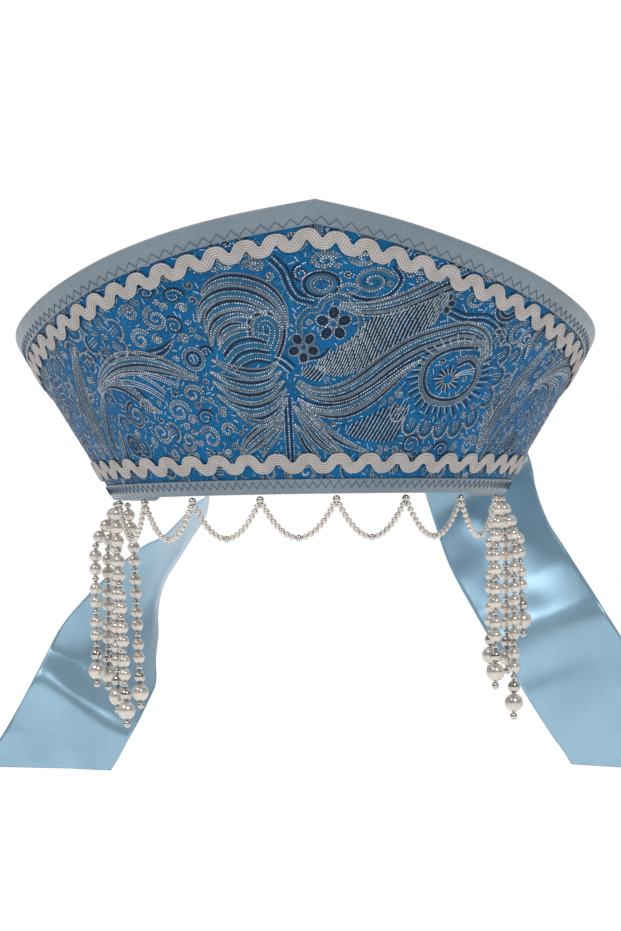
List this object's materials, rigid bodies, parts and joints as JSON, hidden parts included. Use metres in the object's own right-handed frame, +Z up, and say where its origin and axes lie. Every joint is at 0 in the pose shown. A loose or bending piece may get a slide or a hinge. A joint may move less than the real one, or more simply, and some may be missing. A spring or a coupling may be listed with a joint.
{
  "type": "kokoshnik headdress",
  "caption": "Flared brocade kokoshnik band, open at the back, with taped edges, rickrack, bead swags, pendant bead strands and satin tie ribbons.",
  "frame": {"origin": "where the headdress sits on the head: centre of the oval of the band's lower rim, in the plane of that rim", "axes": "+Z up, -Y towards the front peak, +X to the right as seen from the front"},
  "size_m": [0.3406, 0.2683, 0.2537],
  "materials": {
    "brocade": "satin jacquard, blue ground with silver-grey figure",
    "satin_tape": "grey-blue satin bias tape, zigzag stitched",
    "rickrack": "matte woven braid",
    "pearl": "pearly lacquer",
    "silver_bead": "polished",
    "satin_ribbon": "light blue satin"
  },
  "bodies": {
    "root": {"band": "brocade", "top_trim": "satin_tape", "bottom_trim": "satin_tape", "top_rickrack": "rickrack", "bottom_rickrack": "rickrack", "swag_string": "pearl", "strand_left_1": "pearl", "strand_left_2": "pearl", "strand_left_3": "pearl", "strand_left_4": "pearl", "strand_left_5": "pearl", "strand_right_1": "pearl", "strand_right_2": "pearl", "strand_right_3": "pearl", "strand_right_4": "pearl", "strand_right_5": "pearl", "ribbon_left": "satin_ribbon", "ribbon_right": "satin_ribbon"}
  },
  "joints": []
}
